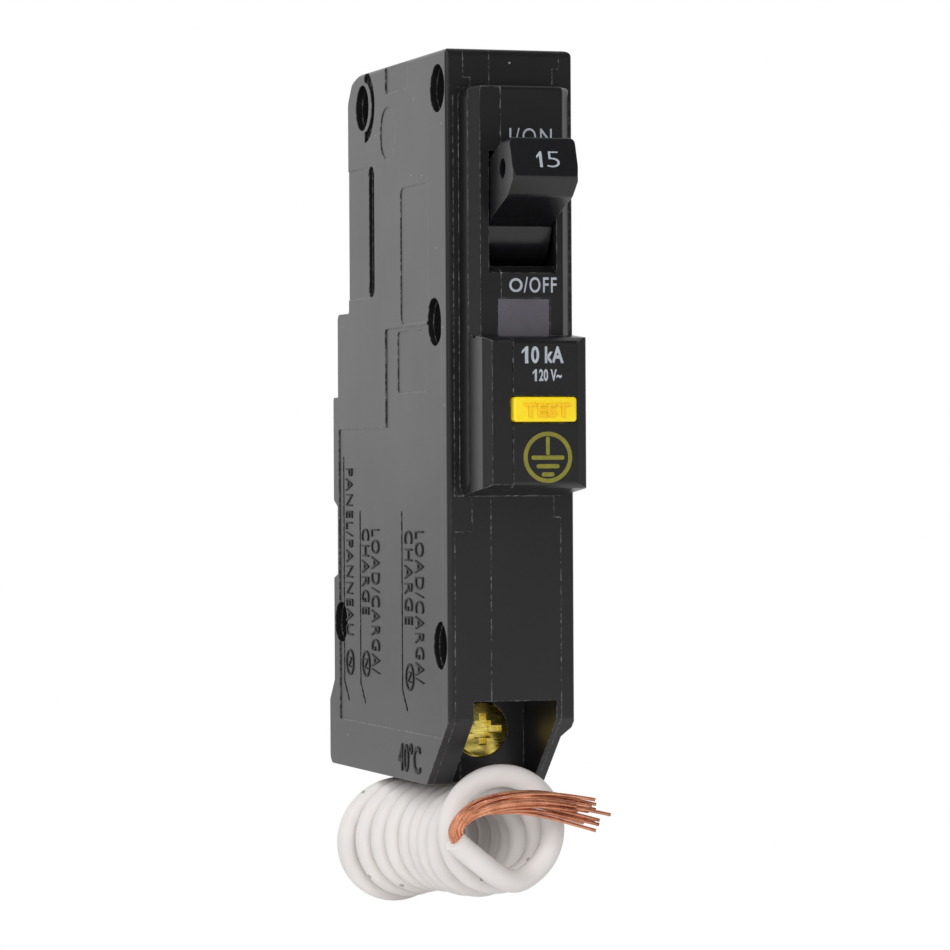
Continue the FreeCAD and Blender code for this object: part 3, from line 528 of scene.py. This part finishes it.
def keep(name, mesh, body, material):
    """Puts a finished mesh in the scene, on its body, with its finish."""
    piece = bpy.data.objects.new(name, mesh)
    bpy.context.scene.collection.objects.link(piece)
    paint(piece, material)
    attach(piece, body)
    return piece


copper_strands = keep("copper_strands", strand_mesh(), "case", bare_copper)
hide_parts("pigtail_bare_end")
print("strands", STRAND_COUNT, "faces", len(copper_strands.data.polygons))

# %% [markdown]
# ## Printed and raised lettering
#
# The front is pad printed in pale ink, and the side has letters moulded in relief. Both start as
# text, which becomes a solid mesh before it is placed, so that its place is in its vertices. The
# digit one and the ring of O/OFF are drawn as their own outlines. A
# lettering's box is given by its lower corner, its reading direction, its up direction and its size,
# and the letters are stretched to fill it, as narrow moulded letters are.

# %% Lettering helpers
def find_front(node, x, z):
    """How far back a part's surface is, straight behind a point in front of it."""
    hit, where, _, _ = nodes[node].ray_cast(at(x, -30, z), Vector((0, 1, 0)))
    if not hit:
        raise ValueError(f"nothing of {node} behind {x}, {z}")
    return (where.y - case_front) / MM


def letter_grid(words, weight, spacing):
    """The words as a solid mesh in the unit square: across 0..1, up 0..1, thickness 0..1."""
    text = bpy.data.curves.new("letters", "FONT")
    text.body = words
    text.extrude = 0.1
    text.offset = weight
    text.space_character = spacing
    text.resolution_u = 4
    holder = bpy.data.objects.new("letters", text)
    bpy.context.scene.collection.objects.link(holder)
    mesh = bpy.data.meshes.new_from_object(holder)
    bpy.data.objects.remove(holder)
    points = np.empty(3 * len(mesh.vertices), dtype=np.float32)
    mesh.vertices.foreach_get("co", points)
    points = points.reshape(-1, 3)
    points = (points - points.min(axis=0)) / np.ptp(points, axis=0)
    return mesh, points


def lettering(name, words, corner, right, up, size, depth, body, material, weight=0.02, spacing=1.0):
    """Letters in a box: corner + across * width * right + up * height * up, raised by depth."""
    mesh, points = letter_grid(words, weight, spacing)
    right, up = Vector(right).normalized(), Vector(up).normalized()
    out = right.cross(up)
    axes = np.array([right * size[0] * MM, up * size[1] * MM, out * depth * MM])
    placed = np.array(at(*corner)) + points @ axes
    mesh.vertices.foreach_set("co", placed.astype(np.float32).ravel())
    mesh.update()
    mesh.name = name
    return keep(name, mesh, body, material)


print("lettering helpers ready")

# %% Front print
def pad_print_ink(name, colour, faded):
    """Printing ink: one colour, a little thin in patches, nearly flat."""
    material, tree, shader = start_material(name, Roughness=0.55)
    thin = blotches(tree, 900, 0.0, 0.7)
    tree.links.new(two_colours(tree, thin, colour, faded), shader.inputs["Base Color"])
    return material


pale_ink = pad_print_ink("pale_ink", (0.40, 0.43, 0.48), (0.30, 0.33, 0.37))
olive_ink = pad_print_ink("olive_ink", (0.22, 0.205, 0.022), (0.15, 0.14, 0.02))
INK = 0.03
ACROSS, UPWARD = (1, 0, 0), (0, 0, 1)
ONE = np.array([(0.45, 0), (0.85, 0), (0.85, 1), (0.6, 1), (0.05, 0.72), (0.05, 0.55), (0.45, 0.74)])
front_words = [
    ("print_on", "I/ON", (-1.7, 91.3), (6.3, 2.2), 0.0, 1.2),
    ("print_off", "/OFF", (0.3, 70.3), (4.9, 2.2), 0.01, 1.15),
    ("print_interrupting", "0 kA", (-0.4, 60.2), (4.8, 2.4), 0.03, 1.05),
    ("print_voltage", "20 V~", (0.75, 57.7), (3.35, 1.7), 0.03, 1.05),
]


def print_place(x, z):
    """A point on the front face of the case, in case millimetres."""
    return (x, find_front("right_housing", x + 1.0, z + 1.0), z)


def plate_mesh(name, outlines, corner, right, up, depth):
    """Flat plates with the given outlines in millimetres, each closed by two faces and a rim."""
    right, up = Vector(right).normalized(), Vector(up).normalized()
    axes = np.array([right * MM, up * MM])
    out = np.array(right.cross(up)) * depth * MM
    verts, faces, used = [], [], 0
    for shape in outlines:
        count = len(shape)
        base = np.array(at(*corner)) + shape @ axes
        verts.append(np.vstack([base, base + out]))
        ring = used + np.arange(count)
        after = np.roll(ring, -1)
        faces += np.stack([ring, after, after + count, ring + count], axis=1).tolist()
        faces += [ring[::-1].tolist(), (ring + count).tolist()]
        used += 2 * count
    mesh = bpy.data.meshes.new(name)
    mesh.from_pydata(np.vstack(verts).tolist(), [], faces)
    return mesh


def ring_outline(radius, half_width, steps=32):
    """A flat ring as one outline that goes round outside, steps in, and comes back inside."""
    turn = np.linspace(0, 2 * math.pi, steps)
    circle = np.stack([np.cos(turn), np.sin(turn)], axis=1)
    return np.vstack([circle * (radius + half_width), circle[::-1] * (radius - half_width)])


for name, words, (x, z), size, weight, spacing in front_words:
    lettering(name, words, print_place(x, z), ACROSS, UPWARD, size, INK, "case",
              pale_ink, weight, spacing)
ones = (("print_ten", (-1.85, 60.2), (1.2, 2.4)), ("print_hundred", (-0.25, 57.7), (0.8, 1.7)))
for name, (x, z), size in ones:
    one = plate_mesh(name, [ONE * size], print_place(x, z), ACROSS, UPWARD, INK)
    keep(name, one, "case", pale_ink)
nought = plate_mesh("print_nought", [ring_outline(0.82, 0.17)], print_place(-0.85, 71.35), ACROSS, UPWARD,
                    INK)
keep("print_nought", nought, "case", pale_ink)
print("front words", len(front_words))

# %% Handle rating and button word
low_y = find_front("handle", 0.6, 87.3)
high_y = find_front("handle", 0.6, 89.7)
slope = (0, high_y - low_y, 89.7 - 87.3)
lettering("print_five", "5", (0.55, low_y, 87.3), ACROSS, slope, (1.85, 2.4), INK, "handle",
          pale_ink, -0.015)
one = plate_mesh("print_one", [ONE * (1.0, 2.4)], (-1.0, low_y, 87.3), ACROSS, slope, INK)
keep("print_one", one, "handle", pale_ink)
button_y = find_front("test_button", 1.4, 53.7)
# The word's darker yellow is painted shade on the raised letters.
lettering("button_word", "TEST", (-1.9, button_y, 52.65), ACROSS, UPWARD, (6.8, 1.95), 0.25,
          "test_button", shaded_letter_yellow, 0.03)
print("handle print slope", [round(v, 2) for v in slope], "button face", round(button_y, 2))

# %% [markdown]
# ## The earth mark
#
# A large olive mark is printed low on the front. A plain protective-earth sign is used here: a ring
# round a stem and three bars, each shorter than the one above. A bar is a stadium, a rectangle with
# a half circle on each end, so one formula gives them all.

# %% Earth mark
def stadium(centre, half_length, half_width, steps=8):
    """Corners of a stadium lying across: two half circles, joined by straight sides."""
    turn = np.linspace(-math.pi / 2, math.pi / 2, steps)
    cap = np.stack([np.cos(turn), np.sin(turn)], axis=1) * half_width
    right_cap = cap + (half_length - half_width, 0)
    left_cap = -cap - (half_length - half_width, 0)
    return np.vstack([right_cap, left_cap]) + centre


bars = [((0, 3.3), 2.45), ((0, 2.1), 1.7), ((0, 0.95), 0.95)]
stem = stadium((0, 0), 1.3, 0.28)[:, ::-1][::-1] + (0, 4.95)
mark = [stadium(centre, half, 0.3) for centre, half in bars] + [stem, ring_outline(3.3, 0.3) + (0, 3.35)]
mark_y = find_front("right_housing", 2.0, 45.0)
earth_mark = plate_mesh("earth_mark", mark, (2.0, mark_y, 43.7), ACROSS, UPWARD, INK)
keep("earth_mark", earth_mark, "case", olive_ink)
print("earth mark plates", len(mark))

# %% [markdown]
# ## Raised words on the side
#
# The left cover tells the installer which wire goes where: a groove runs down from each word to its
# terminal. The words stand slightly above the sunk panel in the case's own plastic. Their
# tops are rubbed matt, so they stay dark where the glossy panel turns grey.

# %% Side lettering
CASE_LEFT = -9.45
PANEL_X = CASE_LEFT + 0.18
DOWN, FORWARD = (0, 0, -1), (0, -1, 0)
RAISED = 0.14
side_words = [
    ("side_load_front", "LOAD/CARGA/", (16.6, 36.5), (22.1, 4.0)),
    ("side_charge_front", "CHARGE", (21.9, 36.5), (13.8, 3.7)),
    ("side_load_middle", "LOAD/CARGA/", (39.2, 36.5), (21.7, 4.0)),
    ("side_charge_middle", "CHARGE", (44.3, 36.5), (13.0, 3.6)),
    ("side_panel", "PANEL/PANNEAU", (52.9, 45.6), (25.5, 3.4)),
]
for name, words, (y, z), size in side_words:
    lettering(name, words, (PANEL_X, y, z), DOWN, FORWARD, size, RAISED, "case",
              letter_black, -0.005, 1.15)
lettering("side_degrees", "40°C", (CASE_LEFT, 25.0, 1.2), FORWARD, UPWARD, (11.0, 4.3), RAISED, "case",
          letter_black, 0.01)
print("side words", len(side_words) + 1)

# %% Ringed letters
rings = (("side_ring_middle", 42.3, 16.1), ("side_ring_back", 51.1, 16.0), ("side_ring_front", 19.6, 15.1))
for name, y, z in rings:
    ring = plate_mesh(name, [ring_outline(1.85, 0.16)], (PANEL_X, y, z), DOWN, FORWARD, RAISED)
    keep(name, ring, "case", letter_black)
    lettering(name + "_letter", "N", (PANEL_X, y + 1.0, z + 0.8), DOWN, FORWARD, (1.6, 2.0), RAISED, "case",
              letter_black, 0.0)
print("ringed letters made")

# %% [markdown]
# ## Floor and light
#
# The breaker lies on a pale table in a white room. A white floor would still turn grey under the
# object, so it also glows a little. The room is bright behind and above the breaker and dim on the
# viewer's side, which leaves the black front black and turns the side grey. Soft lamps above and to
# the left shape the white coil. A third lamp in front lights the paint, the button and the wire, and
# is hidden from reflections, so that the glossy black stays black.

# %% Floor
floor_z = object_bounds()[0][2] - 0.02 * MM
FLOOR_HALF = 3.0
floor_mesh = bpy.data.meshes.new("floor")
corners = [(-FLOOR_HALF, -FLOOR_HALF), (FLOOR_HALF, -FLOOR_HALF), (FLOOR_HALF, FLOOR_HALF),
           (-FLOOR_HALF, FLOOR_HALF)]
floor_mesh.from_pydata([(x, y, floor_z) for x, y in corners], [], [(0, 1, 2, 3)])
floor = bpy.data.objects.new("floor", floor_mesh)
bpy.context.scene.collection.objects.link(floor)
floor_finish, floor_tree, floor_shader = start_material(
    "floor_finish", Base_Color=(0.8, 0.8, 0.8, 1), Roughness=0.9, Specular_IOR_Level=0.1,
    Emission_Color=(1, 1, 1, 1), Emission_Strength=0.25)
glow = add(floor_tree, "Emission", Color=(1, 1, 1, 1), Strength=1.0)
to_eye = add(floor_tree, "LightPath").outputs["Is Camera Ray"]
floor_mix = add(floor_tree, "MixShader", _0=to_eye, _1=floor_shader.outputs[0], _2=glow.outputs[0])
floor_tree.links.new(floor_mix.outputs[0], floor_tree.nodes["Material Output"].inputs["Surface"])
paint(floor, floor_finish)
print("floor at", round(floor_z, 5))

# %% Room light
def room_light():
    """A world that is plain white to the eye, and for light bright behind and dim in front."""
    world = bpy.data.worlds.new("room")
    bpy.context.scene.world = world
    world.use_nodes = True
    tree = world.node_tree
    tree.nodes.clear()
    toward = add(tree, "TexCoord").outputs["Generated"]
    back = add(tree, "SeparateXYZ", Vector=toward).outputs["Y"]
    level = add(tree, "MapRange", {"interpolation_type": "SMOOTHSTEP"}, Value=back)
    for key, value in (("From Min", -0.15), ("From Max", 0.95), ("To Min", 0.15), ("To Max", 1.0)):
        level.inputs[key].default_value = value
    lit = add(tree, "Background", Strength=level.outputs["Result"], Color=(1, 1, 1, 1))
    seen = add(tree, "Background", Strength=1.0, Color=(1, 1, 1, 1))
    eye = add(tree, "LightPath").outputs["Is Camera Ray"]
    mix = add(tree, "MixShader", _0=eye, _1=lit.outputs[0], _2=seen.outputs[0])
    add(tree, "OutputWorld", Surface=mix.outputs[0])


def soft_lamp(name, place, aim, size, power, mirrored=True):
    """A square lamp that faces a point. Its local -Z axis is the way it shines.

    A lamp that is not mirrored lights matt surfaces only, and the glossy black never shows it.
    """
    lamp_data = bpy.data.lights.new(name, "AREA")
    lamp_data.size = size
    lamp_data.energy = power
    lamp = bpy.data.objects.new(name, lamp_data)
    lamp.location = place
    lamp.visible_glossy = mirrored
    lamp.rotation_euler = (Vector(aim) - Vector(place)).to_track_quat("-Z", "Y").to_euler()
    bpy.context.scene.collection.objects.link(lamp)


room_light()
soft_lamp("top_lamp", (-0.25, -0.15, 0.9), (0, -0.04, -0.03), 0.5, 2.2)
soft_lamp("left_lamp", (-0.7, -0.45, 0.30), (0, -0.04, -0.05), 0.35, 1.2)
soft_lamp("front_lamp", (-0.25, -0.9, 0.35), (0, -0.04, -0.03), 0.6, 4.8, mirrored=False)
bpy.context.scene.view_settings.view_transform = "Standard"
print("room and three lamps")
